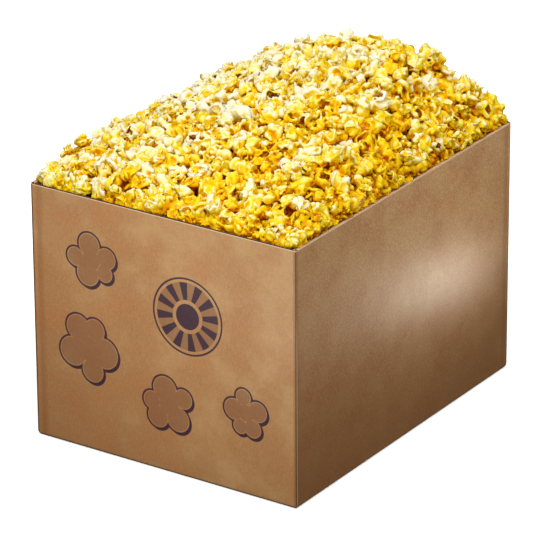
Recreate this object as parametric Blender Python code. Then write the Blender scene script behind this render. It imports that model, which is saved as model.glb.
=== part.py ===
"""Open corrugated cardboard box heaped with buttered popcorn.

Metres, +Z up. The origin is the middle of the box's underside. The front panel faces -Y,
+X is to its right, and the heap is highest towards the back right.
"""

import math
import random

import bmesh
import bpy
from mathutils import Euler, Matrix, Vector

# Box, outside sizes
BOX_WIDTH = 0.345
BOX_DEPTH = 0.438
BOX_HEIGHT = 0.300
BOARD = 0.004
CORNER_RADIUS = 0.005
INNER_RADIUS = 0.002
CORNER_STEPS = 3

# The bottom is two layers of flaps, and the outer pair meets along a seam
FLOOR = 2 * BOARD
SEAM_WIDTH = 0.002
SEAM_DEPTH = 0.003

# Clear space between the popcorn and the board
SIDE_GAP = 0.0010
FLOOR_GAP = 0.0005

# Heap, as heights above the rim: how far the popcorn stands up at the front wall and at the
# others, how steeply it climbs from each wall, and the low dome that rounds off its top
FRONT_LIFT = 0.013
WALL_LIFT = 0.018
FRONT_SLOPE = 0.28
BACK_SLOPE = 1.18
LEFT_SLOPE = 0.55
RIGHT_SLOPE = 1.15
DOME_HEIGHT = 0.1166
DOME_X = 0.0917
DOME_Y = -0.050
DOME_FALL_X = 1.39
DOME_FALL_Y = 0.30
HEAP_BLEND = 0.008

# Popped kernels, from the largest to the smallest: how close two may lie, as a part of their
# radii, and how far each lies under the surface
LARGEST_KERNEL = 0.0142
SMALLEST_KERNEL = 0.0100
KERNEL_SPACING = 0.77
KERNEL_SINK = 0.50
KERNEL_TRIES = 20000

# Shape of one kernel, in its own radii: how far its lobes and the rest of it reach, how much
# its points stray sideways, and how squarely a side faces outwards that grows a lobe
LOBE_REACH = (0.95, 1.20)
BODY_REACH = (0.72, 1.08)
POINT_STRAY = 0.25
LOBE_FACING = 0.35

# Packed popcorn under the top layer
CORE_DEPTH = 0.0130
CORE_CELL = 0.030

SLOPE_STEP = 0.0005
SEED = 1207

INNER_X = BOX_WIDTH / 2 - BOARD - SIDE_GAP
INNER_Y = BOX_DEPTH / 2 - BOARD - SIDE_GAP


def clear_scene():
    for obj in list(bpy.data.objects):
        bpy.data.objects.remove(obj, do_unlink=True)


def make_collection(name):
    collection = bpy.data.collections.new(name)
    bpy.context.scene.collection.children.link(collection)
    return collection


def make_material(name, colour, roughness):
    material = bpy.data.materials.new(name)
    material.use_nodes = True
    shader = material.node_tree.nodes["Principled BSDF"]
    shader.inputs["Base Color"].default_value = (*colour, 1.0)
    shader.inputs["Roughness"].default_value = roughness
    shader.inputs["Metallic"].default_value = 0.0
    return material


def object_from(bm, name, collection, material=None):
    """A new object from a finished bmesh, which is freed."""
    mesh = bpy.data.meshes.new(name)
    bm.to_mesh(mesh)
    bm.free()
    obj = bpy.data.objects.new(name, mesh)
    if material:
        mesh.materials.append(material)
    collection.objects.link(obj)
    return obj


def block(low, high, radius, name, collection, material=None):
    """A cuboid between two corners, with rounded edges except round its top."""
    low = Vector(low)
    high = Vector(high)
    bm = bmesh.new()
    size = Matrix.Diagonal((*(high - low), 1.0))
    bmesh.ops.create_cube(bm, size=1.0, matrix=Matrix.Translation((low + high) / 2) @ size)
    if radius:
        folds = [e for e in bm.edges if min(v.co.z for v in e.verts) < (low.z + high.z) / 2]
        bmesh.ops.bevel(
            bm,
            geom=folds,
            offset=radius,
            segments=CORNER_STEPS,
            profile=0.5,
            affect="EDGES",
        )
    return object_from(bm, name, collection, material)


def add_box(collection, cutters, material):
    """Four walls and a double bottom of folded board, open at the top."""
    half_x = BOX_WIDTH / 2
    half_y = BOX_DEPTH / 2
    box = block(
        (-half_x, -half_y, 0.0),
        (half_x, half_y, BOX_HEIGHT),
        CORNER_RADIUS,
        "box",
        collection,
        material,
    )
    space = block(
        (BOARD - half_x, BOARD - half_y, FLOOR),
        (half_x - BOARD, half_y - BOARD, BOX_HEIGHT + BOARD),
        INNER_RADIUS,
        "space",
        cutters,
    )
    seam = block(
        (-SEAM_WIDTH / 2, -half_y + CORNER_RADIUS, -BOARD),
        (SEAM_WIDTH / 2, half_y - CORNER_RADIUS, SEAM_DEPTH),
        0.0,
        "seam",
        cutters,
    )
    for cutter in (space, seam):
        cutter.hide_render = True
        cutter.display_type = "WIRE"
        cut = box.modifiers.new(cutter.name, "BOOLEAN")
        cut.operation = "DIFFERENCE"
        cut.object = cutter
        cut.solver = "EXACT"
    box.data.shade_smooth()
    box.data.set_sharp_from_angle(angle=math.radians(35))
    return box


def heap_height(x, y):
    """Height of the popcorn above the rim, as a smooth minimum of four slopes and a dome."""
    to_left = x + INNER_X
    to_right = INNER_X - x
    to_front = y + INNER_Y
    to_back = INNER_Y - y
    dome = (
        DOME_HEIGHT - DOME_FALL_X * (x - DOME_X) ** 2 - DOME_FALL_Y * (y - DOME_Y) ** 2
    )
    surfaces = (
        FRONT_LIFT + FRONT_SLOPE * to_front,
        WALL_LIFT + BACK_SLOPE * to_back,
        WALL_LIFT + LEFT_SLOPE * to_left,
        WALL_LIFT + RIGHT_SLOPE * to_right,
        dome,
    )
    return -HEAP_BLEND * math.log(sum(math.exp(-s / HEAP_BLEND) for s in surfaces))


def heap_normal(x, y):
    """The direction straight out of the heap's surface."""
    rise_x = heap_height(x + SLOPE_STEP, y) - heap_height(x - SLOPE_STEP, y)
    rise_y = heap_height(x, y + SLOPE_STEP) - heap_height(x, y - SLOPE_STEP)
    return Vector((-rise_x, -rise_y, 2 * SLOPE_STEP)).normalized()


def kernel_places():
    """Centres, radii and outward directions of popped kernels spread evenly over the heap."""
    draw = random.Random(SEED)
    places = []
    for turn in range(KERNEL_TRIES):
        radius = LARGEST_KERNEL + (SMALLEST_KERNEL - LARGEST_KERNEL) * turn / KERNEL_TRIES
        x = draw.uniform(-INNER_X, INNER_X)
        y = draw.uniform(-INNER_Y, INNER_Y)
        out = heap_normal(x, y)
        surface = Vector((x, y, BOX_HEIGHT + heap_height(x, y)))
        centre = surface - KERNEL_SINK * radius * out
        if all(
            (centre - other).length > KERNEL_SPACING * (radius + size)
            for other, size, _ in places
        ):
            places.append((centre, radius, out))
    return places


def add_kernel(index, centre, radius, out, collection):
    """One popped kernel: an uneven cube whose outer faces are drawn out into lobes."""
    draw = random.Random(SEED + 1 + index)
    bm = bmesh.new()
    bmesh.ops.create_cube(bm, size=1.0)
    turn = Euler([draw.uniform(0, math.tau) for _ in range(3)]).to_matrix().to_4x4()
    bm.transform(turn)
    bm.normal_update()
    outer = [face for face in bm.faces if face.normal.dot(out) > LOBE_FACING]
    lobes = set(bmesh.ops.poke(bm, faces=outer)["verts"])
    for vert in bm.verts:
        reach = draw.uniform(*(LOBE_REACH if vert in lobes else BODY_REACH))
        stray = Vector([draw.uniform(-POINT_STRAY, POINT_STRAY) for _ in range(3)])
        vert.co = (vert.co.normalized() + stray).normalized() * reach * radius
    # A kernel at a wall moves in until it is clear of the board
    shift = Vector((0.0, 0.0, 0.0))
    for axis, limit in ((0, INNER_X), (1, INNER_Y)):
        low = min(vert.co[axis] for vert in bm.verts) + centre[axis]
        high = max(vert.co[axis] for vert in bm.verts) + centre[axis]
        shift[axis] = max(0.0, -limit - low) - max(0.0, high - limit)
    bm.transform(Matrix.Translation(centre + shift))
    bmesh.ops.triangulate(bm, faces=bm.faces[:])
    return object_from(bm, f"kernel_{index}", collection)


def add_core(collection, material):
    """The packed popcorn under the top layer, from the box's floor up."""
    columns = round(2 * INNER_X / CORE_CELL)
    rows = round(2 * INNER_Y / CORE_CELL)
    bm = bmesh.new()
    bmesh.ops.create_grid(bm, x_segments=columns, y_segments=rows, size=1.0)
    for vert in bm.verts:
        x = vert.co.x * INNER_X
        y = vert.co.y * INNER_Y
        vert.co = (x, y, BOX_HEIGHT + heap_height(x, y) - CORE_DEPTH)
    skirt = bmesh.ops.extrude_edge_only(bm, edges=[e for e in bm.edges if e.is_boundary])
    for item in skirt["geom"]:
        if isinstance(item, bmesh.types.BMVert):
            item.co.z = FLOOR + FLOOR_GAP
    bmesh.ops.holes_fill(bm, edges=[e for e in bm.edges if e.is_boundary])
    bmesh.ops.recalc_face_normals(bm, faces=bm.faces[:])
    return object_from(bm, "popcorn", collection, material)


def islands(bm):
    """The separate shells of a mesh, as lists of vertices."""
    left = set(bm.verts)
    shells = []
    while left:
        seed = left.pop()
        shell = [seed]
        queue = [seed]
        while queue:
            for edge in queue.pop().link_edges:
                for vert in edge.verts:
                    if vert in left:
                        left.remove(vert)
                        shell.append(vert)
                        queue.append(vert)
        shells.append(shell)
    return shells


def fuse(core, pieces):
    """Joins the pieces to the core in one go, and drops loose scraps and sealed hollows."""
    union = core.modifiers.new("union", "BOOLEAN")
    union.operation = "UNION"
    union.operand_type = "COLLECTION"
    union.collection = pieces
    union.solver = "MANIFOLD"
    evaluated = core.evaluated_get(bpy.context.evaluated_depsgraph_get())
    mesh = bpy.data.meshes.new_from_object(evaluated)
    core.modifiers.clear()
    for piece in list(pieces.objects):
        bpy.data.objects.remove(piece, do_unlink=True)
    bpy.data.collections.remove(pieces)
    bm = bmesh.new()
    bm.from_mesh(mesh)
    shells = sorted(islands(bm), key=len)
    for scrap in shells[:-1]:
        bmesh.ops.delete(bm, geom=scrap, context="VERTS")
    bm.to_mesh(mesh)
    bm.free()
    core.data = mesh


def main():
    clear_scene()
    parts = make_collection("popcorn_box")
    cutters = make_collection("cutters")
    kernels = make_collection("kernels")
    kraft = make_material("kraft_board", (0.42, 0.22, 0.09), 0.62)
    buttered = make_material("buttered_popcorn", (0.84, 0.60, 0.10), 0.55)
    add_box(parts, cutters, kraft)
    popcorn = add_core(parts, buttered)
    for index, (centre, radius, out) in enumerate(kernel_places()):
        add_kernel(index, centre, radius, out, kernels)
    print(len(kernels.objects), "popped kernels on the heap")
    fuse(popcorn, kernels)


main()
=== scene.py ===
# Box of popcorn: an open kraft board box heaped with buttered popcorn, on a pale floor
import math
import random
import time
from functools import reduce

import bmesh
import bpy
import numpy as np
from mathutils import Euler, Matrix, Quaternion, Vector, noise
from mathutils.kdtree import KDTree


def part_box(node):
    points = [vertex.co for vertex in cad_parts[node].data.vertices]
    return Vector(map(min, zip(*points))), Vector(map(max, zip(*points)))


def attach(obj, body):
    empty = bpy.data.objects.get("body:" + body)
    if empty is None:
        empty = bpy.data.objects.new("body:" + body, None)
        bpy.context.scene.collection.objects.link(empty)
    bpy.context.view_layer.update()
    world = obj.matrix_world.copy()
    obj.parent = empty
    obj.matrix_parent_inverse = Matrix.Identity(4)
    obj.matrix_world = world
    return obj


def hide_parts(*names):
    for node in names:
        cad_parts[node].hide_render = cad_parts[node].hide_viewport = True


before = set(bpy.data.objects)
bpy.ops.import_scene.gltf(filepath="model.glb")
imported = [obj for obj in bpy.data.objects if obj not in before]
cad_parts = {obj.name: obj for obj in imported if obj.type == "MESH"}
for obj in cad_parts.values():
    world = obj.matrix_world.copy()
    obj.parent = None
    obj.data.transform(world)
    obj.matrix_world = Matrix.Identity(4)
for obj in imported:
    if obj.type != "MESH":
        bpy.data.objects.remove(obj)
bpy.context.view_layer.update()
started = time.time()

boxLow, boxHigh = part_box("box")
boxWidth = boxHigh.x - boxLow.x
boxDepth = boxHigh.y - boxLow.y
boxHeight = boxHigh.z
mm = 0.001


def report(words):
    print(f"{time.time() - started:6.1f} s  {words}")


def rgb(red, green, blue):  # a screen colour, 0 to 255, as the linear colour that shaders take
    def linear(value):
        value /= 255
        return value / 12.92 if value <= 0.04045 else ((value + 0.055) / 1.055) ** 2.4
    return (linear(red), linear(green), linear(blue), 1.0)


def linked(name, data):  # a new object in the scene
    made = bpy.data.objects.new(name, data)
    bpy.context.scene.collection.objects.link(made)
    return made


def meshFrom(bm, name):  # a new mesh from a finished bmesh, which is freed
    mesh = bpy.data.meshes.new(name)
    bm.to_mesh(mesh)
    bm.free()
    return mesh


# Shader helpers

class Wire:  # an output of a shader node; values add up with the usual signs
    def __init__(self, graph, socket):
        self.graph = graph
        self.socket = socket

    def out(self, name):  # another output of the same node
        return Wire(self.graph, self.socket.node.outputs[name])

    def __add__(self, other):
        return self.graph.maths("ADD", self, other)

    def __radd__(self, other):
        return self.graph.maths("ADD", other, self)

    def __sub__(self, other):
        return self.graph.maths("SUBTRACT", self, other)

    def __rsub__(self, other):
        return self.graph.maths("SUBTRACT", other, self)

    def __mul__(self, other):
        return self.graph.maths("MULTIPLY", self, other)

    def __rmul__(self, other):
        return self.graph.maths("MULTIPLY", other, self)


class Graph:  # the nodes of a material or of the sky
    def __init__(self, name, kind="materials", shader="Principled BSDF"):
        self.owner = getattr(bpy.data, kind).new(name)
        self.owner.use_nodes = True
        self.tree = self.owner.node_tree
        self.shader = self.tree.nodes[shader]

    def node(self, kind, settings=None, values=None, out=0):
        made = self.tree.nodes.new(kind)
        for name, value in (settings or {}).items():
            if name == "stops":
                ramp = made.color_ramp
                while len(ramp.elements) < len(value):
                    ramp.elements.new(0.5)
                for element, (place, colour) in zip(ramp.elements, value):
                    element.position = place
                    element.color = colour
            else:
                setattr(made, name, value)
        self.fill(made, values or {})
        return Wire(self, made.outputs[out])

    def fill(self, made, values):
        for name, value in values.items():
            if isinstance(value, Wire):
                self.tree.links.new(value.socket, made.inputs[name])
            else:
                made.inputs[name].default_value = value

    def maths(self, operation, *values, clamp=False):
        settings = {"operation": operation, "use_clamp": clamp}
        return self.node("ShaderNodeMath", settings, dict(enumerate(values)))

    def clamp(self, value):
        return self.maths("ADD", value, 0.0, clamp=True)

    def unsigned(self, value):
        return self.maths("ABSOLUTE", value)

    def most(self, *values):
        return reduce(lambda first, second: self.maths("MAXIMUM", first, second), values)

    def least(self, *values):
        return reduce(lambda first, second: self.maths("MINIMUM", first, second), values)

    def step(self, value, low, high):  # 0 below low, 1 above high, smooth between them
        values = {"Value": value, "From Min": low, "From Max": high}
        return self.node("ShaderNodeMapRange", {"interpolation_type": "SMOOTHSTEP"}, values)

    def below(self, value, low, high):  # 1 below low, 0 above high
        return 1 - self.step(value, low, high)

    def mix(self, share, first, second):  # colours
        return self.node(
            "ShaderNodeMix", {"data_type": "RGBA"}, {0: share, 6: first, 7: second}, out=2
        )

    def noise(self, place, scale, detail=2.0, rough=0.5):
        values = {"Vector": place, "Scale": scale, "Detail": detail, "Roughness": rough}
        return self.node("ShaderNodeTexNoise", {}, values)

    def bump(self, height, strength, distance):
        values = {"Strength": strength, "Distance": distance, "Height": height}
        return self.node("ShaderNodeBump", {}, values)

    def place(self):
        return self.node("ShaderNodeTexCoord", out="Object")

    def spots(self, name):  # a value kept in the mesh
        return self.node("ShaderNodeAttribute", {"attribute_name": name}, out="Fac")

    def finish(self, values):
        self.fill(self.shader, values)
        return self.owner


# Camera, floor and light

view = {
    "azimuth": 33.92,  # degrees round the box from its front
    "elevation": 23.45,
    "roll": -0.36,
    "distance": 4.833,
    "aim": Vector((-0.0067, -0.0006, 0.1575)),
    "lens": 290.1,  # mm
    "sensor": 36.0,  # mm
    "clipEnd": 50.0,
}


def makeCamera():
    turn = math.radians(view["azimuth"])
    lift = math.radians(view["elevation"])
    roll = math.radians(view["roll"])
    back = Vector(
        (math.sin(turn) * math.cos(lift), -math.cos(turn) * math.cos(lift), math.sin(lift))
    )
    level = Vector((math.cos(turn), math.sin(turn), 0.0))
    upright = back.cross(level)
    right = math.cos(roll) * level + math.sin(roll) * upright
    up = math.cos(roll) * upright - math.sin(roll) * level
    data = bpy.data.cameras.new("camera")
    data.lens = view["lens"]
    data.sensor_width = view["sensor"]
    data.clip_end = view["clipEnd"]
    camera = linked("camera", data)
    axes = Matrix((right, up, back)).transposed().to_4x4()
    camera.matrix_world = Matrix.Translation(view["aim"] + back * view["distance"]) @ axes
    bpy.context.scene.camera = camera


studio = {
    "floorSize": 16.0,
    "floorColour": rgb(248, 248, 248),
    "floorRoughness": 0.9,
    "floorGlow": 0.5,
    # a wide soft sky, darker below
    "skyColour": (1.0, 0.93, 0.80, 1.0),
    "skyBright": 0.49,
    "skyBelow": 0.049,
    "skyEdge": (-0.2, 0.1),  # heights of a direction between which it brightens
    # suns: name, strength, where from, softness in degrees across
    "suns": (
        ("key", 0.83, Vector((-0.7, -1.2, 2.3)), 14),
        ("fill", 1.2, Vector((1.0, -0.5, 2.0)), 34),
        ("low", 0.5, Vector((0.8, -0.9, 0.6)), 40),
    ),
    # soft lamps: name, watts, colour, size, cone in degrees, where, and what it points at
    "lamps": (
        ("front", 9.0, (1.0, 1.0, 1.0), 0.15, 54,
         Vector((0.10, -1.0, 0.26)), Vector((0.06, -0.22, 0.14))),
        ("sheen", 1.45, (1.0, 0.92, 0.78), 0.05, 56,
         Vector((0.351, 0.325, 0.092)), Vector((0.1725, 0.030, 0.21))),
    ),
}


def hangLamp(name, kind, place, aim):
    data = bpy.data.lights.new(name, kind)
    lamp = linked(name, data)
    lamp.location = place
    lamp.rotation_mode = "QUATERNION"
    lamp.rotation_quaternion = (aim - place).to_track_quat("-Z", "Y")
    lamp.visible_camera = False
    return data


def makeSky():
    g = Graph("studio", "worlds", "Background")
    way = g.node("ShaderNodeTexCoord", out="Generated")
    height = g.node("ShaderNodeSeparateXYZ", {}, {"Vector": way}, out="Z")
    above = g.step(height, *studio["skyEdge"])
    strength = studio["skyBelow"] + above * (studio["skyBright"] - studio["skyBelow"])
    return g.finish({"Color": studio["skyColour"], "Strength": strength})


def makeStudio():
    bpy.context.scene.world = makeSky()
    bpy.context.scene.view_settings.view_transform = "Standard"
    paint = Graph("floor").finish(
        {
            "Base Color": studio["floorColour"],
            "Roughness": studio["floorRoughness"],
            "Emission Color": studio["floorColour"],
            "Emission Strength": studio["floorGlow"],
        }
    )
    half = studio["floorSize"] / 2
    verts = [(-half, -half, 0), (half, -half, 0), (half, half, 0), (-half, half, 0)]
    floor = meshObject("floor", verts, [(0, 1, 2, 3)], paint, smooth=False)
    # The floor throws no light back on the box, whose panels darken towards their feet
    floor.visible_diffuse = False
    floor.visible_glossy = False
    for name, strength, place, softness in studio["suns"]:
        sun = hangLamp(name, "SUN", place, Vector((0, 0, 0)))
        sun.energy = strength
        sun.angle = math.radians(softness)
    for name, power, colour, size, cone, place, aim in studio["lamps"]:
        lamp = hangLamp(name, "SPOT", place, aim)
        lamp.energy = power
        lamp.color = colour
        lamp.shadow_soft_size = size
        lamp.spot_size = math.radians(cone)
        lamp.spot_blend = 1.0


# Meshes

def meshObject(name, verts, faces, material, spots=None, smooth=True):
    mesh = bpy.data.meshes.new(name)
    mesh.vertices.add(len(verts))
    mesh.vertices.foreach_set("co", np.asarray(verts, np.float32).ravel())
    faces = np.asarray(faces, np.int32)
    mesh.loops.add(faces.size)
    mesh.loops.foreach_set("vertex_index", faces.ravel())
    mesh.polygons.add(len(faces))
    sides = faces.shape[1]
    mesh.polygons.foreach_set("loop_start", np.arange(0, faces.size, sides, dtype=np.int32))
    mesh.polygons.foreach_set("loop_total", np.full(len(faces), sides, np.int32))
    mesh.update(calc_edges=True)
    mesh.validate()
    for kind, values in (spots or {}).items():
        made = mesh.attributes.new(kind, "FLOAT", "POINT")
        made.data.foreach_set("value", np.asarray(values, np.float32))
    mesh.materials.append(material)
    if smooth:
        mesh.shade_smooth()
    return linked(name, mesh)


# Popped kernels: a few shapes of each kind, in their own radii

popping = {
    "voxel": 0.045,
    "triangles": 930,
    "buriedTriangles": 320,
    # bends that leave no lobe a ball: how many for each radius, and how far
    "bends": ((1.2, 0.34), (2.9, 0.13)),
    # folds: how many for each radius, how deep, and 1 for round puffs or -1 for sharp ridges
    "folds": ((1.5, 0.26, 1), (3.2, 0.15, -1), (6.5, 0.05, -1)),
    "crease": 0.2,  # how much noise still counts as a crease
    # the brown hull lies inside the hollow lobes and keeps away from their openings
    "hullInside": 0.62,
    "hullSoft": 0.05,
    "hullAway": 0.9,
    # puffed is what stands out of its surroundings, and what is far from the middle
    "smoothings": 10,
    "standsOut": 0.07,
    "puffShares": (0.7, 0.3),
    "farFrom": 0.9,
    "reach": 97,  # percent of the points lie within a kernel's radius
    "seed": 41,
}


def wayAt(height, turn):
    flat = math.sqrt(1 - height * height)
    return Vector((flat * math.cos(turn), flat * math.sin(turn), height))


def anyWay(draw):
    height = draw.uniform(-1, 1)
    return wayAt(height, draw.uniform(0, math.tau))


def spreadWays(draw, count, low=-1.0):  # directions spread round a ball, above a height
    spin = draw.uniform(0, math.tau)
    ways = []
    for number in range(count):
        height = 1 - (1 - low) * (number + 0.5) / count
        way = wayAt(height, spin + number * 2.4)
        ways.append((way + anyWay(draw) * 0.28).normalized())
    return ways


class Kernel:  # the lobes of one popped kernel, before they are fused
    def __init__(self, draw):
        self.draw = draw
        self.bm = bmesh.new()
        self.hollows = []

    def bulb(self, centre, radius, uneven=0.22):
        sides = [self.draw.uniform(1 - uneven, 1 + uneven) for _ in range(3)]
        turn = Euler([self.draw.uniform(0, math.tau) for _ in range(3)]).to_matrix()
        bmesh.ops.create_icosphere(
            self.bm,
            subdivisions=3,
            radius=radius,
            matrix=Matrix.Translation(centre) @ (turn @ Matrix.Diagonal(sides)).to_4x4(),
        )

    def cup(self, centre, radius, thickness, way, opening, husk=1.0):  # a torn, hollow lobe
        part = bmesh.new()
        bmesh.ops.create_icosphere(part, subdivisions=4, radius=radius)
        shift = anyWay(self.draw) * 9
        torn = []
        for vert in part.verts:
            tear = 0.55 * noise.noise(vert.co / radius * 1.4 + shift)
            if vert.co.normalized().dot(way) > math.cos(opening + tear):
                torn.append(vert)
        bmesh.ops.delete(part, geom=torn, context="VERTS")
        bmesh.ops.solidify(part, geom=part.faces[:], thickness=thickness)
        bmesh.ops.translate(part, verts=part.verts[:], vec=centre)
        mesh = meshFrom(part, "cup")
        self.bm.from_mesh(mesh)
        bpy.data.meshes.remove(mesh)
        self.hollows.append((centre, radius, thickness, way, husk))


def popWinged(kernel, draw):  # torn and puffed wings round a small middle
    kernel.bulb(Vector((0, 0, 0)), 0.38)
    for way in spreadWays(draw, draw.choice((4, 5, 6)), -0.8):
        reach = draw.uniform(0.40, 0.56)
        if draw.random() < 0.5:
            size = draw.uniform(0.34, 0.46)
            lean = (way + anyWay(draw) * 0.6).normalized()
            kernel.cup(way * reach, size, 0.13, lean, draw.uniform(1.1, 1.7), 0.4 * draw.random())
        else:
            kernel.bulb(way * reach, draw.uniform(0.30, 0.42), 0.45)


def popPetal(kernel, draw):  # open petals, one within the other, with puffs on their backs
    up = Vector((0, 0, 1))
    kernel.cup(up * 0.25, draw.uniform(0.75, 0.9), 0.16, up, draw.uniform(1.3, 1.7), 0.2)
    lean = (up + anyWay(draw) * 0.7).normalized()
    kernel.cup(lean * 0.1, draw.uniform(0.42, 0.52), 0.14, lean, draw.uniform(1.1, 1.5), 0.3)
    for way in spreadWays(draw, 4, 0.0):
        kernel.bulb(Vector((way.x, way.y, -way.z)) * 0.4, draw.uniform(0.28, 0.38), 0.45)


def popCurl(kernel, draw):  # a curled lobe round the brown hull
    up = Vector((0, 0, 1))
    size = draw.uniform(0.44, 0.58)
    side = Vector((draw.uniform(-0.2, 0.2), draw.uniform(-0.2, 0.2), 0.12))
    kernel.cup(side, size, 0.15, up, draw.uniform(0.65, 1.05))
    for way in spreadWays(draw, draw.choice((3, 4, 5)), -0.3):
        away = Vector((way.x, way.y, -way.z))
        if draw.random() < 0.4:
            kernel.cup(away * 0.6, draw.uniform(0.3, 0.4), 0.13, away, draw.uniform(1.2, 1.6), 0.2)
        else:
            kernel.bulb(away * draw.uniform(0.45, 0.62), draw.uniform(0.28, 0.4), 0.45)


def popKnot(kernel, draw):  # a tight knot of ruffles
    kernel.bulb(Vector((0, 0, 0)), 0.42)
    for way in spreadWays(draw, draw.choice((7, 8, 9))):
        lean = (way + anyWay(draw) * 0.8).normalized()
        size = draw.uniform(0.24, 0.34)
        kernel.cup(way * 0.52, size, 0.12, lean, draw.uniform(1.2, 1.9), 0.3 * draw.random())
    way = anyWay(draw)
    kernel.cup(way * 0.5, 0.34, 0.13, way, 0.8)


def popRound(kernel, draw):  # two or three smooth bulbs
    for way in spreadWays(draw, draw.choice((2, 3, 3))):
        kernel.bulb(way * 0.38, draw.uniform(0.44, 0.56), 0.2)
    way = anyWay(draw)
    kernel.cup(way * 0.5, 0.3, 0.12, way, 1.2, 0.6)


kinds = {
    # how many shapes, share of the kernels, and how far one may lean from the heap's surface
    "winged": {"pop": popWinged, "shapes": 10, "share": 0.23, "lean": 3.1},
    "petal": {"pop": popPetal, "shapes": 8, "share": 0.20, "lean": 1.2},
    "curl": {"pop": popCurl, "shapes": 9, "share": 0.20, "lean": 1.1},
    "knot": {"pop": popKnot, "shapes": 7, "share": 0.20, "lean": 3.1},
    "round": {"pop": popRound, "shapes": 5, "share": 0.17, "lean": 3.1},
}


def rowsOf(items, name, width, kind=np.float32):  # one property of all items, a row for each
    values = np.empty(len(items) * width, kind)
    items.foreach_get(name, values)
    return values.reshape(-1, width)


def evaluated(source):
    depsgraph = bpy.context.evaluated_depsgraph_get()
    return bpy.data.meshes.new_from_object(source.evaluated_get(depsgraph))


def thinned(mesh, triangles):  # the same shape with about that many triangles
    carrier = linked("thinned", mesh)
    mesh.calc_loop_triangles()
    thin = carrier.modifiers.new("thin", "DECIMATE")
    thin.ratio = min(1.0, triangles / len(mesh.loop_triangles))
    result = evaluated(carrier)
    bpy.data.objects.remove(carrier)
    return result


def popKernel(kind, seed):
    draw = random.Random(seed)
    kernel = Kernel(draw)
    kinds[kind]["pop"](kernel, draw)
    carrier = linked("lobes", meshFrom(kernel.bm, "lobes"))
    fuse = carrier.modifiers.new("fuse", "REMESH")
    fuse.mode = "VOXEL"
    fuse.voxel_size = popping["voxel"]
    soften = carrier.modifiers.new("soften", "SMOOTH")
    soften.factor = 0.5
    soften.iterations = 1
    skin = evaluated(carrier)
    bpy.data.objects.remove(carrier)

    # The brown hull, inside the hollow lobes and away from their openings
    verts = rowsOf(skin.vertices, "co", 3)
    husk = np.zeros(len(verts))
    for centre, radius, thickness, way, share in kernel.hollows:
        away = verts - np.array(centre)
        reach = np.linalg.norm(away, axis=1)
        inner = radius - popping["hullInside"] * thickness
        inside = np.clip((inner - reach) / popping["hullSoft"], 0, 1)
        facing = away @ np.array(way) / np.maximum(reach, 0.01)
        covered = np.clip(1.0 - popping["hullAway"] * facing, 0, 1)
        husk = np.maximum(husk, inside * covered * share)

    # Bends of the whole, then puffs with creases between them, from large to fine
    shift = anyWay(draw) * 20
    places = [Vector(vert) + shift for vert in verts]
    bend = np.zeros_like(verts)
    for count, reach in popping["bends"]:
        bend += reach * np.array([noise.noise_vector(place * count) for place in places])
    verts = verts + bend
    skin.vertices.foreach_set("co", verts.ravel())
    skin.update()
    normals = rowsOf(skin.vertices, "normal", 3)
    rise = np.zeros(len(verts), np.float32)
    for count, depth, puffed in popping["folds"]:
        values = np.array([noise.noise(place * count) for place in places])
        rise += puffed * depth * (abs(values) - popping["crease"])
    verts = verts + normals * rise[:, None]
    skin.vertices.foreach_set("co", verts.ravel())
    skin.update()

    # How far each point stands out of its surroundings
    edges = rowsOf(skin.edges, "vertices", 2, np.int32)
    flat = verts.astype(np.float64)
    degree = np.bincount(edges.ravel(), minlength=len(verts))[:, None]
    for _ in range(popping["smoothings"]):
        total = np.zeros_like(flat)
        np.add.at(total, edges[:, 0], flat[edges[:, 1]])
        np.add.at(total, edges[:, 1], flat[edges[:, 0]])
        flat = 0.5 * flat + 0.5 * total / degree
    normals = rowsOf(skin.vertices, "normal", 3)
    out = np.einsum("ij,ij->i", verts - flat, normals)
    far = np.linalg.norm(verts, axis=1)
    near, away = popping["puffShares"]
    puff = near * np.clip(0.5 + out / popping["standsOut"], 0, 1)
    puff += away * np.clip(2 * far - popping["farFrom"], 0, 1)

    size = np.percentile(far, popping["reach"])
    tree = KDTree(len(verts))
    for index, vert in enumerate(verts):
        tree.insert(vert, index)
    tree.balance()
    shapes = []
    for triangles in (popping["triangles"], popping["buriedTriangles"]):
        thin = thinned(skin, triangles)
        points = rowsOf(thin.vertices, "co", 3)
        thin.calc_loop_triangles()
        nearest = [tree.find(point)[1] for point in points]
        shape = {"verts": points / size, "normals": normals[nearest]}
        shape["faces"] = rowsOf(thin.loop_triangles, "vertices", 3, np.int32)
        shape["puff"] = puff[nearest]
        shape["hull"] = husk[nearest]
        shapes.append(shape)
        bpy.data.meshes.remove(thin)
    bpy.data.meshes.remove(skin)
    return shapes


def popAll():
    noise.seed_set(popping["seed"])  # or noise_vector would differ on each run
    shapes = {}
    for kind, values in kinds.items():
        seeds = [f"{kind} {popping['seed'] + number}" for number in range(values["shapes"])]
        shapes[kind] = [popKernel(kind, seed) for seed in seeds]
    report(f"popped {sum(map(len, shapes.values()))} shapes of kernel")
    return shapes


# The heap: the same slopes and kernels as the solid, with more kernels between them

heap = {
    "board": 4 * mm,
    "sideGap": 1 * mm,
    "frontLift": 13 * mm,
    "wallLift": 18 * mm,
    "frontSlope": 0.28,
    "backSlope": 1.18,
    "leftSlope": 0.55,
    "rightSlope": 1.15,
    "domeHeight": 116.6 * mm,
    "domeX": 91.7 * mm,
    "domeY": -50 * mm,
    "domeFallX": 1.39,
    "domeFallY": 0.30,
    "blend": 8 * mm,
    "pressed": 0.55,  # how thin a kernel's side is pressed at a wall, in its radii
    "size": 1.12,  # how far a kernel's wings reach, in its radii
    "room": 4000,  # more than there are kernels
    "seed": 1207,
}
innerX = boxWidth / 2 - heap["board"] - heap["sideGap"]
innerY = boxDepth / 2 - heap["board"] - heap["sideGap"]

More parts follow.
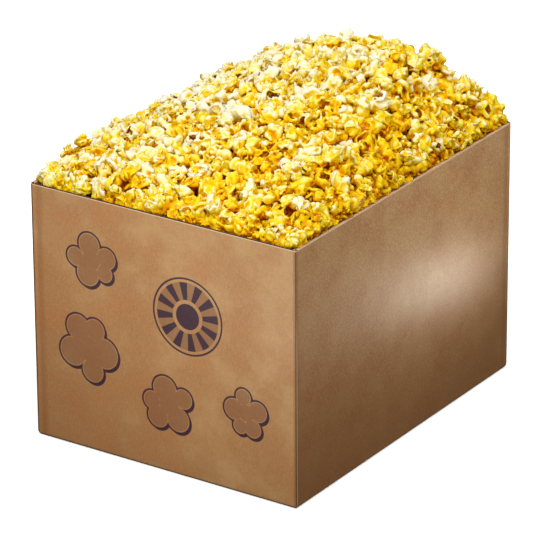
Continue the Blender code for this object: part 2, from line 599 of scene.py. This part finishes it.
layers = [
    # kernels of the solid, and smaller ones between them
    {"largest": 14.2 * mm, "smallest": 10 * mm, "spacing": 0.77, "sink": (0.5, 0.5), "tries": 20000},
    {"largest": 11.5 * mm, "smallest": 8.5 * mm, "spacing": 0.60, "sink": (0.4, 1.5), "tries": 24000},
    # a buried bed below, and some strays on top, which keep clear of their own kind alone
    {"largest": 13.0 * mm, "smallest": 10 * mm, "spacing": 0.70, "sink": (0, 0), "tries": 6000,
     "drop": 18 * mm, "alone": True, "buried": True},
    {"largest": 9.5 * mm, "smallest": 8.0 * mm, "spacing": 3.0, "sink": (-0.6, -0.2), "tries": 200,
     "alone": True},
]
# kernels that stand up from the heap's outline: place and radius in mm
crown = (
    (-163, -158, 318, 10.5), (-161, -173, 310, 10), (-160, -198, 309, 10), (-161, -102, 317, 10),
    (-161, -49, 318, 9), (-161, 20, 318, 10.5), (-141, 120, 329, 9), (-114, 157, 344, 10.5),
    (102, 154, 389, 10.5), (110, 161, 378, 10), (131, 182, 349, 10), (141, 190, 340, 9),
    (151, 201, 327, 10), (161, 208, 315, 10), (166, 212, 306, 9),
)
# kernels in the corners, at the rim
corners = {"radius": 11 * mm, "inset": 5 * mm, "height": 7 * mm}
# a row along the walls, at the rim
edging = {"largest": 13 * mm, "smallest": 9.5 * mm, "spacing": 0.58, "tries": 4000,
          "low": -2 * mm, "high": 7 * mm}


def heapHeight(x, y):
    blend = heap["blend"]
    dome = heap["domeHeight"]
    dome = dome - heap["domeFallX"] * (x - heap["domeX"]) ** 2
    dome = dome - heap["domeFallY"] * (y - heap["domeY"]) ** 2
    surfaces = (
        heap["frontLift"] + heap["frontSlope"] * (y + innerY),
        heap["wallLift"] + heap["backSlope"] * (innerY - y),
        heap["wallLift"] + heap["leftSlope"] * (x + innerX),
        heap["wallLift"] + heap["rightSlope"] * (innerX - x),
        dome,
    )
    return -blend * np.log(sum(np.exp(-s / blend) for s in surfaces))


def heapNormal(x, y):
    step = 0.5 * mm
    riseX = heapHeight(x + step, y) - heapHeight(x - step, y)
    riseY = heapHeight(x, y + step) - heapHeight(x, y - step)
    way = np.array((-riseX, -riseY, 2 * step))
    return way / np.linalg.norm(way)


def scatterKernels():
    centres = np.zeros((heap["room"], 3))
    radii = np.zeros(heap["room"])
    placed = []
    draw = random.Random(heap["seed"])

    def tryPlace(centre, radius, out, first, spacing, buried=False):
        count = len(placed)
        gaps = np.linalg.norm(centres[first:count] - centre, axis=1)
        if np.all(gaps > spacing * (radii[first:count] + radius)):
            centres[count] = centre
            radii[count] = radius
            placed.append((centre, radius, out, buried))

    for number, layer in enumerate(layers):
        span = layer["smallest"] - layer["largest"]
        first = len(placed) if "alone" in layer else 0
        for turn in range(layer["tries"]):
            radius = layer["largest"] + span * turn / layer["tries"]
            x = draw.uniform(-innerX, innerX)
            y = draw.uniform(-innerY, innerY)
            out = heapNormal(x, y)
            centre = np.array((x, y, boxHeight + heapHeight(x, y)))
            low, high = layer["sink"]
            sink = low if low == high else draw.uniform(low, high)
            centre = centre - sink * radius * out
            centre[2] -= layer.get("drop", 0)
            tryPlace(centre, radius, out, first, layer["spacing"], "buried" in layer)
        report(f"{len(placed)} kernels after layer {number + 1}")
    for x, y, z, radius in crown:
        out = heapNormal(x * mm, y * mm)
        tryPlace(np.array((x, y, z)) * mm, radius * mm, out, len(placed), 0)
    first = len(placed)
    for sideX, sideY in ((1, 1), (1, -1), (-1, -1), (-1, 1)):
        x = sideX * (innerX - corners["inset"])
        y = sideY * (innerY - corners["inset"])
        centre = np.array((x, y, boxHeight + corners["height"]))
        tryPlace(centre, corners["radius"], (sideX, sideY, 1), first, 1.0)
    span = edging["smallest"] - edging["largest"]
    around = 2 * (innerX + innerY)
    for turn in range(edging["tries"]):
        radius = edging["largest"] + span * turn / edging["tries"]
        run = draw.uniform(-around, around)
        side = 1 if run > 0 else -1
        run = abs(run)
        if run < 2 * innerX:
            x, y, out = run - innerX, side * innerY, (0, side, 1)
        else:
            x, y, out = side * innerX, run - 2 * innerX - innerY, (side, 0, 1)
        height = boxHeight + draw.uniform(edging["low"], edging["high"])
        tryPlace(np.array((x, y, height)), radius, out, first, edging["spacing"])
    report(f"{len(placed) - first} kernels in the corners and along the walls")
    return placed


def kernelTurn(draw, out, lean):
    way = Vector(out)
    side = anyWay(draw).cross(way).normalized()
    tilt = Quaternion(side, draw.uniform(0, lean))
    upright = way.to_track_quat("Z", "Y")
    spin = Quaternion((0, 0, 1), draw.uniform(0, math.tau))
    return np.array((tilt @ upright @ spin).to_matrix())


butterAndShade = {
    "white": 0.22,  # share of the kernels that stay nearly white
    "wash": (0.19, -0.11),  # more butter towards the right and the front
    "drift": (26.0, 0.45),  # and in patches: how many for each metre, and how much
    "whiteRange": (0.0, 0.3),
    "yellowRange": (0.33, 0.92),
    # buried kernels take the most butter; their deep gold also stands in for the shade they lie in:
    # painted shade
    "buriedRange": (0.7, 1.0),
    "shadeDepth": 11 * mm,  # painted shade: how far below the heap's smoothed top a point turns amber and brown
    "shadeRange": (-0.25, 1.2),
    "wallReach": 12 * mm,  # nearer the walls than this, less painted shade
    "wallLeast": 0.5,
    # painted shade: the sides of a kernel's lobes that face away from the light go further along the
    # stops, and the sides facing it stay pale
    "lightWay": Vector((-0.25, -0.3, 1.0)),
    "litFacing": 0.5,
    "under": 0.46,
    "cell": 1.5 * mm,  # of the map of the heap's own surface
    "blur": 4,  # cells
}
overBoard = 0.5 * mm  # how far above the rim a kernel has to be to lie over the board


def pressIn(verts, centre, radius):  # a kernel at a wall moves in, and is pressed flat there
    for axis, limit, half in ((0, innerX, boxWidth / 2), (1, innerY, boxDepth / 2)):
        side = -1 if centre[axis] < 0 else 1
        room = limit - side * centre[axis]
        least = heap["pressed"] * radius
        if room < least:
            centre[axis] -= side * (least - room)
            room = least
        reach = np.maximum(verts[:, axis] * side, 0)
        # above the rim it may lie over the board, but not at the front
        free = verts[:, 2] + centre[2] > boxHeight + overBoard
        over = half - limit if (axis, side) != (1, -1) else 0
        limits = np.where(free, room + over, room)
        if reach.max() > room:
            verts[:, axis] -= side * reach * (1 - limits / np.maximum(reach.max(), limits))


def surfaceMap(verts):  # the heap's smoothed top, and how steeply it lies, on a grid
    cell = butterAndShade["cell"]
    shape = (round(boxWidth / cell) + 1, round(boxDepth / cell) + 1)
    across = np.clip(((verts[:, :2] + (boxWidth / 2, boxDepth / 2)) / cell).round(), 0, None)
    spots = np.minimum(across.astype(int), np.array(shape) - 1)
    top = np.full(shape, boxHeight)
    np.maximum.at(top, (spots[:, 0], spots[:, 1]), verts[:, 2])
    reach = butterAndShade["blur"]
    window = np.ones(2 * reach + 1) / (2 * reach + 1)
    for axis in (0, 1, 0, 1):
        ends = [(reach, reach) if axis == each else (0, 0) for each in (0, 1)]
        top = np.apply_along_axis(np.convolve, axis, np.pad(top, ends, "edge"), window, "valid")
    riseX, riseY = np.gradient(top, cell)
    upright = 1 / np.sqrt(1 + riseX ** 2 + riseY ** 2)
    return spots, top, upright


def butterOn(draw, centre, buried):  # how much butter a kernel has taken up
    washX, washY = butterAndShade["wash"]
    wash = washX * centre[0] / innerX + washY * centre[1] / innerY
    count, reach = butterAndShade["drift"]
    wash += reach * noise.noise(Vector(centre) * count)
    butter = draw.uniform(*butterAndShade["yellowRange"]) + wash
    if draw.random() < butterAndShade["white"] - wash:
        butter = draw.uniform(*butterAndShade["whiteRange"])
    if buried:
        butter = draw.uniform(*butterAndShade["buriedRange"])
    return butter


def depthShade(verts):  # painted shade from how deep each point lies in the heap, less so at the walls
    spots, top, upright = surfaceMap(verts)
    below = (top[spots[:, 0], spots[:, 1]] - verts[:, 2]) * upright[spots[:, 0], spots[:, 1]]
    toWall = np.minimum(innerX - abs(verts[:, 0]), innerY - abs(verts[:, 1]))
    nearWall = np.clip(toWall / butterAndShade["wallReach"], butterAndShade["wallLeast"], 1)
    sunk = np.clip(below / butterAndShade["shadeDepth"], *butterAndShade["shadeRange"])
    return np.where(sunk > 0, sunk * nearWall, sunk)


def fillHeap(shapes, material):
    draw = random.Random(heap["seed"] + 7)
    gathered = {}
    for centre, radius, out, buried in scatterKernels():
        kind = draw.choices(list(kinds), [kinds[k]["share"] for k in kinds])[0]
        shape = draw.choice(shapes[kind])[1 if buried else 0]
        turn = kernelTurn(draw, out, kinds[kind]["lean"]).T
        verts = shape["verts"] @ turn * radius * heap["size"]
        facing = shape["normals"] @ turn @ np.array(butterAndShade["lightWay"].normalized())
        butter = butterOn(draw, centre, buried)
        pressIn(verts, centre, radius)
        name = "buried_popcorn" if buried else f"{kind}_popcorn"
        bunch = gathered.setdefault(name, {"verts": [], "faces": [], "spots": [], "count": 0})
        bunch["faces"].append(shape["faces"] + bunch["count"])
        bunch["verts"].append(verts + centre)
        bunch["count"] += len(verts)
        bunch["spots"].append(
            np.stack((shape["puff"], shape["hull"], np.full(len(verts), butter), facing))
        )
    for bunch in gathered.values():
        bunch["verts"] = np.concatenate(bunch["verts"])
    # Painted shade: points that lie deep in the heap go amber and brown
    sunk = depthShade(np.concatenate([bunch["verts"] for bunch in gathered.values()]))
    first = 0
    for name, bunch in gathered.items():
        verts = bunch["verts"]
        last = first + len(verts)
        puff, hull, butter, facing = np.concatenate(bunch["spots"], axis=1)
        # painted shade on the sides that face away from the light
        under = butterAndShade["under"] * (butterAndShade["litFacing"] - facing)
        values = {"puff": puff, "hull": hull, "butter": butter, "sunk": sunk[first:last] + under}
        first = last
        made = meshObject(name, verts, np.concatenate(bunch["faces"]), material, values)
        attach(made, "root")
        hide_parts("popcorn")
        report(f"{name}: {len(made.data.polygons)} triangles")


corePart = {
    "depth": 28 * mm,  # below the heap's surface
    "cell": 6 * mm,
    "lump": 5 * mm,
    "lumpWide": 10 * mm,
    "foot": 9 * mm,  # its height above the ground
}


def makeCore(material):
    columns = round(2 * innerX / corePart["cell"])
    rows = round(2 * innerY / corePart["cell"])
    bm = bmesh.new()
    bmesh.ops.create_grid(bm, x_segments=columns, y_segments=rows, size=1.0)
    for vert in bm.verts:
        x = vert.co.x * innerX
        y = vert.co.y * innerY
        lump = corePart["lump"] * abs(noise.noise(Vector((x, y, 0.3)) / corePart["lumpWide"]))
        top = boxHeight + heapHeight(x, y) - corePart["depth"] + lump
        vert.co = (x, y, top)
    skirt = bmesh.ops.extrude_edge_only(bm, edges=[e for e in bm.edges if e.is_boundary])
    for item in skirt["geom"]:
        if isinstance(item, bmesh.types.BMVert):
            item.co.z = corePart["foot"]
    bmesh.ops.holes_fill(bm, edges=[e for e in bm.edges if e.is_boundary])
    bmesh.ops.recalc_face_normals(bm, faces=bm.faces[:])
    core = linked("packed_popcorn", meshFrom(bm, "packed_popcorn"))
    core.data.materials.append(material)
    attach(core, "root")
    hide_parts("popcorn")
    report("packed popcorn under the heap")


popcornLook = {
    "stops": [
        (0.0, rgb(253, 246, 220)),
        (0.18, rgb(253, 240, 166)),
        (0.34, rgb(252, 225, 50)),
        (0.54, rgb(251, 207, 0)),
        (0.78, rgb(244, 172, 0)),
        (1.0, rgb(184, 88, 0)),
    ],
    "hull": rgb(222, 140, 22),
    "hullDark": rgb(140, 66, 8),
    # the packed core's darker gold and amber stand in for popcorn lying deep in shade: painted shade
    "core": rgb(226, 158, 4),
    "coreDark": rgb(150, 84, 2),
    # how far along the stops a point lies
    "least": 0.10,
    "butter": 0.5,
    "patches": 0.35,
    # creases go deeper along the stops: butter colour, and painted crease shade
    "creases": 0.5,
    # painted shade: how far depth in the heap and facing away from the light move a point along the
    # stops
    "sunk": 0.58,
    # noise for each metre
    "patchScale": 75.0,
    "streakScale": 700.0,
    "hullScale": 420.0,
    "fineScale": 1600.0,
    "coreScale": 90.0,
    "roughness": 0.56,
    "butterGloss": 0.20,
    "hullGloss": 0.1,
    "specular": 0.10,
    "scatter": 0.4,
    "scatterColour": (1.0, 0.8, 0.3),
    "scatterDepth": 3 * mm,
}


def popcornMaterial():
    g = Graph("buttered_popcorn")
    look = popcornLook
    place = g.place()
    puff = g.spots("puff")
    butter = g.spots("butter")
    patches = g.noise(place, look["patchScale"])
    depth = look["least"] + butter * look["butter"] + (patches - 0.5) * look["patches"]
    # Creases go deeper along the stops, both butter colour and painted crease shade; the last term is
    # painted shade, from depth in the heap and from sides facing away from the light
    depth = depth + (0.6 - puff) * look["creases"] + g.spots("sunk") * look["sunk"]
    colour = g.node("ShaderNodeValToRGB", {"stops": look["stops"]}, {"Fac": g.clamp(depth)})
    streaks = g.noise(place, look["streakScale"])
    husk = g.mix(g.step(streaks, 0.35, 0.65), look["hullDark"], look["hull"])
    torn = (g.noise(place, look["hullScale"]) - 0.5) * 0.9
    edge = g.step(g.spots("hull") + torn, 0.30, 0.50)
    colour = g.mix(edge, colour, husk)
    fine = g.noise(place, look["fineScale"], detail=3.0)
    return g.finish(
        {
            "Base Color": colour,
            "Roughness": look["roughness"]
            - look["butterGloss"] * g.clamp(butter + patches - 0.5)
            - look["hullGloss"] * edge,
            "Normal": g.bump(fine, 0.2, 0.4 * mm),
            "Specular IOR Level": look["specular"],
            "Subsurface Weight": look["scatter"],
            "Subsurface Radius": look["scatterColour"],
            "Subsurface Scale": look["scatterDepth"],
        }
    )


def coreMaterial():
    g = Graph("packed_popcorn")
    patches = g.noise(g.place(), popcornLook["coreScale"], detail=4.0)
    # Painted shade: the core is darker than the kernels above it, as popcorn lying in deep shade
    colour = g.mix(g.step(patches, 0.35, 0.65), popcornLook["coreDark"], popcornLook["core"])
    bump = g.bump(patches, 0.6, 2 * mm)
    return g.finish({"Base Color": colour, "Roughness": 0.7, "Normal": bump})


# The box

carton = {
    "corner": 5 * mm,
    "cornerLeast": 0.6 * mm,
    "cornerSteps": 8,
    "outerLiner": 0.7 * mm,
    "innerLiner": 0.5 * mm,
    "flutePitch": 6.3 * mm,
    "fluteSteps": 8,
    "fluteSheet": 0.35 * mm,
    "fluteDrop": 1.8 * mm,
    "crushedSheet": 2.7 * mm,
    "crushedDrop": 0.1 * mm,
    "bottomRound": 5 * mm,
    "innerRound": 0.5 * mm,
    "roundSteps": 5,
    "bottomThick": 3 * mm,
    "bend": 0.2 * mm,  # how round the liners' top edges are
    "flutingFoot": 10 * mm,
    # the joint at the near corner, where the front panel's cut edge meets the right panel
    "jointRound": 0.8 * mm,
    "jointLeast": 0.2 * mm,
    "jointWide": 0.5 * mm,
    "jointDeep": 0.3 * mm,
}


def jointOutline(halfX, halfY, inset):  # the near corner with the joint's groove in its side
    steps = carton["cornerSteps"]
    radius = max(carton["jointRound"] - inset, carton["jointLeast"])
    points = []
    groove = -halfY - inset + heap["board"]
    deep = carton["jointDeep"] if inset < 0.5 * mm else 0.0
    for step in range(steps - 3):
        angle = -math.pi / 2 * (1 - step / (steps - 4))
        points.append(
            (halfX - radius + radius * math.cos(angle), radius - halfY + radius * math.sin(angle))
        )
    half = carton["jointWide"] / 2
    for inward, share in ((0, -1), (deep, -0.4), (deep, 0.4), (0, 1)):
        points.append((halfX - inward, groove + half * share))
    return points


def planOutline(inset):  # corner points of the wall seen from above
    radius = max(carton["corner"] - inset, carton["cornerLeast"])
    halfX = boxWidth / 2 - inset
    halfY = boxDepth / 2 - inset
    points = []
    steps = carton["cornerSteps"]
    for signX, signY, turn in ((1, 1, 0.0), (-1, 1, 0.25), (-1, -1, 0.5)):
        for step in range(steps + 1):
            angle = math.tau * (turn + 0.25 * step / steps)
            x = signX * (halfX - radius) + radius * math.cos(angle)
            y = signY * (halfY - radius) + radius * math.sin(angle)
            points.append((x, y))
    points += jointOutline(halfX, halfY, inset)
    return np.array(points)


def tube(rings):  # quads between closed rings of points that match one another
    count = len(rings[0])
    faces = []
    for level in range(len(rings) - 1):
        low = level * count
        high = low + count
        for step in range(count):
            after = (step + 1) % count
            faces.append((low + step, low + after, high + after, high + step))
    return np.concatenate(rings), faces


def ring(inset, height):
    outline = planOutline(inset)
    return np.column_stack((outline, np.full(len(outline), height)))


def capped(verts, faces, count):  # a mesh closed across its first and last ring
    bm = bmesh.new()
    made = [bm.verts.new(vert) for vert in verts]
    for face in faces:
        bm.faces.new([made[index] for index in face])
    bm.faces.new(made[:count][::-1])
    bm.faces.new(made[-count:])
    return bm


def makeShell(name, outer, thickness, foot, top, material):
    bend = carton["bend"]
    rings = []
    rounding = carton["bottomRound" if foot == 0 else "innerRound"]
    steps = carton["roundSteps"]
    for step in range(steps + 1):
        angle = math.pi / 2 * step / steps
        inset = outer + rounding * (1 - math.sin(angle))
        rings.append(ring(inset, foot + rounding * (1 - math.cos(angle))))
    inner = outer + thickness
    rings += [ring(outer, top - bend), ring(outer + bend, top)]
    rings += [ring(inner - bend, top), ring(inner, top - bend)]
    rings.append(ring(inner, foot + thickness + carton["bottomThick"]))
    verts, faces = tube(rings)
    bm = capped(verts, faces, len(rings[0]))
    bmesh.ops.recalc_face_normals(bm, faces=bm.faces[:])
    mesh = meshFrom(bm, name)
    mesh.materials.append(material)
    mesh.shade_smooth()
    mesh.set_sharp_from_angle(angle=math.radians(50))
    dressBox(linked(name, mesh))


def dressBox(piece):
    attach(piece, "root")
    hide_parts("box")


def makeFluting(material):  # the wavy sheet between the liners, which shows at the rim
    low = carton["outerLiner"]
    high = heap["board"] - carton["innerLiner"]
    middle = (low + high) / 2
    verts = []
    faces = []
    for along in (Vector((1, 0)), Vector((0, 1)), Vector((-1, 0)), Vector((0, -1))):
        inward = Vector((-along.y, along.x))
        crushed = along.x == 0  # the rims of the side walls are crushed shut
        length, across = (boxDepth, boxWidth) if crushed else (boxWidth, boxDepth)
        sheet = carton["crushedSheet"] if crushed else carton["fluteSheet"]
        top = boxHeight - (carton["crushedDrop"] if crushed else carton["fluteDrop"])
        swing = (high - low - sheet) / 2
        span = length - 2 * carton["corner"]
        waves = round(span / carton["flutePitch"])
        count = waves * carton["fluteSteps"] + 1
        for step in range(count):
            run = span * (step / (count - 1) - 0.5)
            wave = swing * math.cos(math.tau * waves * step / (count - 1))
            for side in (-0.5, 0.5):
                inset = middle + wave + side * sheet
                spot = along * run - inward * (across / 2 - inset)
                for height in (carton["flutingFoot"], top):
                    verts.append((spot.x, spot.y, height))
            if step:
                a, b, c, d, e, f, h, i = range(len(verts) - 8, len(verts))
                faces += [(a, e, f, b), (c, d, i, h), (b, f, i, d), (a, c, h, e)]
    fluting = meshObject("fluting", verts, faces, material, smooth=False)
    dressBox(fluting)


kraft = {
    "light": rgb(186, 140, 92),
    "dark": rgb(158, 110, 66),
    # olive and rosy are the board's random tints, and also painted sheen and painted shade
    "olive": rgb(190, 154, 106),
    "rosy": rgb(176, 114, 66),
    "foot": rgb(128, 82, 44),  # painted shade: what the panels darken to at the floor and in the other painted shade bands; also the dark side of the grain
    "edge": rgb(222, 192, 158),
    "speck": rgb(96, 58, 30),
    "line": rgb(62, 38, 24),
    # painted shade in the open gap between the liners
    "gap": rgb(40, 24, 14),
    "ink": rgb(48, 28, 50),
    "inkPale": rgb(118, 76, 54),
    # noise for each metre, and how much of it shows
    "clouds": (13.0, 0.8),
    "fibres": (420.0, 1.2),
    "tints": (24.0, 0.6),
    "grain": (430.0, 0.4),
    "specks": (900.0, 0.5),
    "inkGrain": (1100.0, 0.24),
    "grainRight": 0.9,  # more of it on the right panel, as painted glancing light that brings the grain out there
    "tintAndSheen": (0.5, 0.35),  # painted sheen and shade over the random tint: more olive, as in the sheen, towards the right and the rim, and rosier, as in shade, low and to the left
    "footShadeShare": (0.15, 0.45),  # painted shade at the foot: on all panels, and more on the right one
    "rightShade": 0.3,
    "fold": 0.35,
    "jointShade": 0.5,
    "lines": 0.85,
    "jointPale": 0.35,
    "print": (0.55, 0.72),  # the pale ink and the dark
    # painted highlight along the top edge
    "rim": 0.8,
    "gapShadeShare": 0.9,
}

# Where the marks on the board begin and end, in metres
bands = {
    "rightPanel": (0.6 * mm, 1.2 * mm),
    "frontPanel": (0.5 * mm, 0.8 * mm),
    "foldStart": (7 * mm, 11 * mm),
    "foldEnd": (12 * mm, 20 * mm),
    "joint": (25 * mm, 30 * mm),
    "jointShade": (2.5 * mm, 4.5 * mm),
    "leftShadeLine": (3.6 * mm, 4.6 * mm),
    "leftShadeLineDeep": (5 * mm, 6 * mm),
    "cutLine": (1.0 * mm, 1.3 * mm),
    "cutLineDeep": (0.3 * mm, 0.6 * mm),
    "footShadowLine": (0.8 * mm, 2.2 * mm),
    "jointPale": (2.4 * mm, 3.0 * mm),
    "jointPaleTop": (180 * mm, 250 * mm),
    "rim": (0.5 * mm, 1.1 * mm),
    "gapSoft": (0.2 * mm, 0.1 * mm),
    "gapCorner": (4.5 * mm, 5.5 * mm),
}

# The print on the front panel, in metres from its middle: a round badge, and popped kernels
# in outline, each a bunch of puffs round its own place
panelPrint = {
    "badge": {
        "place": (34 * mm, 42 * mm),
        "radius": 44 * mm,
        "rays": 12,
        "raySoft": 0.06,
        # in its radius
        "disc": 0.90,
        "band": 0.44,
        "hub": 0.34,
    },
    "kernels": (
        # place, size, turn
        ((-92 * mm, 78 * mm), 34 * mm, 0.3),
        ((-98 * mm, -28 * mm), 42 * mm, 2.1),
        ((8 * mm, -68 * mm), 36 * mm, 4.0),
        ((108 * mm, -52 * mm), 30 * mm, 5.2),
    ),
    # each puff of a kernel: direction in turns, distance and radius in the kernel's size
    "puffs": ((0.0, 0.62, 0.40), (0.22, 0.52, 0.44), (0.45, 0.60, 0.36), (0.66, 0.50, 0.46),
              (0.86, 0.62, 0.34), (0.0, 0.0, 0.40)),
    "line": 2.2 * mm,
    "soft": 0.25 * mm,
    "shade": (2.2 * mm, -2.4 * mm),  # how far the dark shade falls beside each outline
}


def ringAt(g, x, y, place):  # distance from a point of the panel
    dx = x - place[0]
    dy = y - place[1]
    return g.maths("SQRT", dx * dx + dy * dy)


def puffed(g, x, y, place, size, turn):  # signed distance from a bunch of puffs
    gaps = []
    for part, away, radius in panelPrint["puffs"]:
        angle = turn + math.tau * part
        along = size * away * math.cos(angle)
        up = size * away * math.sin(angle)
        gaps.append(ringAt(g, x, y, (place[0] + along, place[1] + up)) - size * radius)
    return g.least(*gaps)


def printMasks(g, x, y):  # where the dark ink and the pale ink lie
    line = panelPrint["line"]
    shadeX, shadeY = panelPrint["shade"]
    dark = []
    pale = []

    def inside(gap):
        return g.below(gap, -panelPrint["soft"], panelPrint["soft"])

    for place, size, turn in panelPrint["kernels"]:
        gap = puffed(g, x, y, place, size, turn)
        cast = puffed(g, x, y, (place[0] + shadeX, place[1] + shadeY), size, turn)
        dark.append(inside(g.unsigned(gap) - line / 2))
        dark.append(inside(cast) * (1 - inside(gap)))
        pale.append(inside(gap + line))
    badge = panelPrint["badge"]
    radius = badge["radius"]
    away = ringAt(g, x, y, badge["place"])
    turned = g.maths("ARCTAN2", y - badge["place"][1], x - badge["place"][0])
    rays = g.step(g.maths("SINE", turned * badge["rays"]), -badge["raySoft"], badge["raySoft"])
    ground = inside(away - badge["disc"] * radius) * (1 - inside(away - badge["band"] * radius))
    dark.append(inside(g.unsigned(away - radius) - line / 2))
    dark.append(ground * rays)
    dark.append(inside(away - badge["hub"] * radius))
    pale.append(ground * (1 - rays))
    return g.most(*dark), g.most(*pale)


def boardColour(g, place, x, height, right, fibres):  # clouds, tints with painted sheen and shade, grain, and a painted darker foot (shade)
    scale, share = kraft["clouds"]
    clouds = (g.noise(place, scale, detail=3.0) - 0.5) * share
    blend = g.clamp(0.5 + clouds + (fibres - 0.5) * kraft["fibres"][1])
    colour = g.mix(blend, kraft["dark"], kraft["light"])
    scale, share = kraft["tints"]
    sheenRight, sheenUp = kraft["tintAndSheen"]
    # painted sheen towards the right and top, painted shade low and to the left, over the random tint
    tintAndSheen = g.noise(place, scale, detail=3.0, rough=0.6) + x * sheenRight + height * sheenUp
    colour = g.mix(g.step(tintAndSheen, 0.50, 0.80) * share, colour, kraft["olive"])
    colour = g.mix(g.step(1 - tintAndSheen, 0.45, 0.75) * share, colour, kraft["rosy"])
    scale, share = kraft["grain"]
    grain = (g.noise(place, scale, detail=1.0) - 0.5) * (share + kraft["grainRight"] * right)
    colour = g.mix(g.clamp(grain), colour, kraft["edge"])
    colour = g.mix(g.clamp(0.0 - grain), colour, kraft["foot"])
    # painted shade, darker towards the floor
    share, more = kraft["footShadeShare"]
    return g.mix(g.below(height, 0.0, boxHeight) * (share + more * right), colour, kraft["foot"])


def kraftMaterial():
    g = Graph("kraft_board")
    place = g.place()
    x = g.node("ShaderNodeSeparateXYZ", {}, {"Vector": place}, out="X")
    y = x.out("Y")
    height = x.out("Z")
    fromFront = y + boxDepth / 2
    fromRight = boxWidth / 2 - x
    fromSide = boxWidth / 2 - g.unsigned(x)  # from the nearer side wall's face
    fromEnd = boxDepth / 2 - g.unsigned(y)  # from the nearer end wall's face
    right = g.below(fromRight, *bands["rightPanel"])
    front = g.below(fromFront, *bands["frontPanel"])
    stretched = g.node(
        "ShaderNodeVectorMath", {"operation": "MULTIPLY"}, {0: place, 1: (1.0, 1.0, 0.35)}
    )
    fibres = g.noise(stretched, kraft["fibres"][0], detail=4.0, rough=0.7)
    colour = boardColour(g, place, x, height, right, fibres)
    # Painted shade: the right panel darkens towards the joint, away from its glow
    rightShade = right * g.below(fromFront, 0.0, boxDepth / 2)
    colour = g.mix(rightShade * kraft["rightShade"], colour, kraft["foot"])
    # Folds: a pressed band a little way in from each upright edge but the joint's, painted darker as
    # the shade on its bulge
    fromEdge = g.most(fromSide, fromEnd)
    fold = g.step(fromEdge, *bands["foldStart"]) * g.below(fromEdge, *bands["foldEnd"])
    atJoint = g.below(fromRight, *bands["joint"]) * g.below(fromFront, *bands["joint"])
    fold = fold * (1 - atJoint)
    # painted shade on the pressed band
    colour = g.mix(fold * kraft["fold"], colour, kraft["foot"])
    # painted shade on the strip where the corner at the joint turns away from the light
    bend = atJoint * g.below(fromEdge, *bands["jointShade"])
    colour = g.mix(bend * kraft["jointShade"], colour, kraft["foot"])
    # Thin dark lines: painted shade along the front panel's left edge, its cut edge at the joint, and
    # a painted contact shadow at the foot
    left = g.below(x + boxWidth / 2, *bands["leftShadeLine"])
    left = left * g.below(fromFront, *bands["leftShadeLineDeep"])
    cut = g.below(fromRight, *bands["cutLine"]) * g.below(fromFront, *bands["cutLineDeep"])
    lines = g.most(left, cut, g.below(height, *bands["footShadowLine"]))
    colour = g.mix(lines * kraft["lines"], colour, kraft["line"])
    # A pale strip on the right panel beside the joint, fading out from 180 mm up
    jointPale = right * g.below(fromFront, *bands["jointPale"]) * (1 - cut)
    jointPale = jointPale * g.below(height, *bands["jointPaleTop"])
    colour = g.mix(jointPale * kraft["jointPale"], colour, kraft["edge"])
    scale, share = kraft["specks"]
    dots = g.step(g.noise(place, scale, detail=1.0), 0.68, 0.76)
    colour = g.mix(dots * share, colour, kraft["speck"])
    # The print, on the front panel only
    dark, pale = printMasks(g, x, height - boxHeight / 2)
    paleShare, darkShare = kraft["print"]
    scale, share = kraft["inkGrain"]
    inked = g.step(g.noise(place, scale), 0.30, 0.42)
    colour = g.mix(pale * front * paleShare, colour, kraft["inkPale"])
    colour = g.mix(dark * front * (darkShare + share * inked), colour, kraft["ink"])
    # Painted highlight along the top edge of the liners
    rim = g.below(boxHeight - height, *bands["rim"])
    colour = g.mix(rim * kraft["rim"], colour, kraft["edge"])
    # Painted shade: the gap between the liners, open at the rim, painted near black
    fromFace = g.least(fromSide, fromEnd)
    outer, inner = bands["gapSoft"]
    gap = g.step(fromFace, carton["outerLiner"] - outer, carton["outerLiner"] - inner)
    gap = gap * g.below(fromFace, heap["board"] - outer, heap["board"] - inner)
    gap = gap * g.step(fromSide, *bands["gapCorner"])
    colour = g.mix(gap * kraft["gapShadeShare"], colour, kraft["gap"])
    rough = 0.41 + (fibres - 0.5) * 0.2
    bump = g.bump(fibres * 0.6 + (1 - fold) * 0.4, 0.22, 0.3 * mm)
    return g.finish({"Base Color": colour, "Roughness": rough, "Normal": bump})


flutingLook = {
    # painted shade: the open flutes near black
    "dark": rgb(34, 20, 12),
    "light": rgb(78, 50, 30),
    "crushedDark": rgb(196, 160, 124),
    "crushedLight": rgb(228, 196, 160),
    "scale": 600.0,
    "crushed": (5 * mm, 5.5 * mm),
}


def flutingMaterial():  # painted near-black shade in the open flutes; crushed shut along the side walls and painted paler there, lifting the shade of the kernels above
    g = Graph("fluting_paper")
    look = flutingLook
    place = g.place()
    fibres = g.noise(place, look["scale"], detail=3.0)
    x = g.node("ShaderNodeSeparateXYZ", {}, {"Vector": place}, out="X")
    crushed = g.below(boxWidth / 2 - g.unsigned(x), *look["crushed"])
    wavy = g.mix(fibres, look["dark"], look["light"])
    shut = g.mix(fibres, look["crushedDark"], look["crushedLight"])
    return g.finish({"Base Color": g.mix(crushed, wavy, shut), "Roughness": 0.8})


makeCamera()
makeStudio()
report("camera and studio")
board = kraftMaterial()
makeShell("outer_liner", 0.0, carton["outerLiner"], 0.0, boxHeight, board)
makeShell(
    "inner_liner",
    heap["board"] - carton["innerLiner"],
    carton["innerLiner"],
    heap["board"],
    boxHeight - 0.1 * mm,
    board,
)
makeFluting(flutingMaterial())
report("box")
makeCore(coreMaterial())
fillHeap(popAll(), popcornMaterial())
report("heap")
